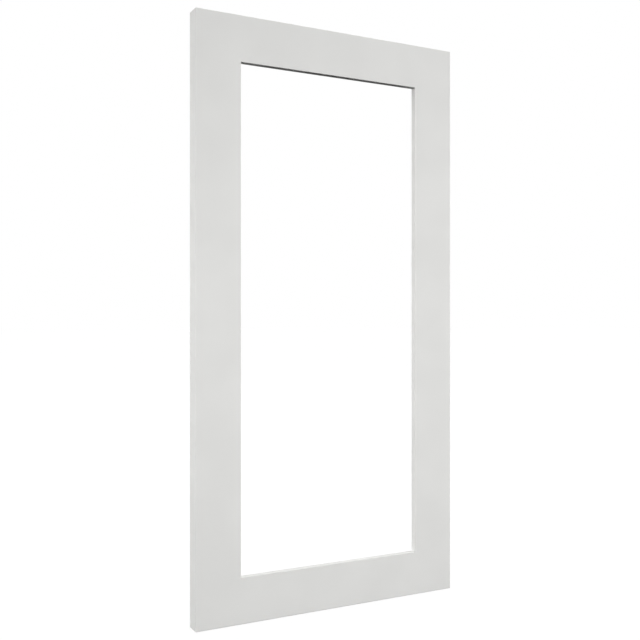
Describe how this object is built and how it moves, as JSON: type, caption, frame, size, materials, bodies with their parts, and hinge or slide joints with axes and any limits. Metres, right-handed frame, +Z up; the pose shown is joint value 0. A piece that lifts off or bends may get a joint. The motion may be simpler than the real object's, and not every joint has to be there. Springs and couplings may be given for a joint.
{
  "type": "kitchen cabinet door",
  "caption": "Painted stile-and-rail frame door for a kitchen wall or base cabinet, open in the middle, with a rebate for glass and hinge cup borings behind.",
  "frame": {"origin": "middle of the door, half-way through its thickness", "axes": "+Z up the door's height, +X to the right seen from the front, +Y from the front face to the back face"},
  "size_m": [0.397, 0.022, 0.797],
  "materials": {
    "satin_paint": "satin off-white paint on fibreboard",
    "beech": "bare turned beech"
  },
  "bodies": {
    "root": {"left_stile": "satin_paint", "right_stile": "satin_paint", "top_rail": "satin_paint", "bottom_rail": "satin_paint", "dowel_top_left_outer": "beech", "dowel_top_left_inner": "beech", "dowel_top_right_outer": "beech", "dowel_top_right_inner": "beech", "dowel_bottom_left_outer": "beech", "dowel_bottom_left_inner": "beech", "dowel_bottom_right_outer": "beech", "dowel_bottom_right_inner": "beech"}
  },
  "joints": []
}
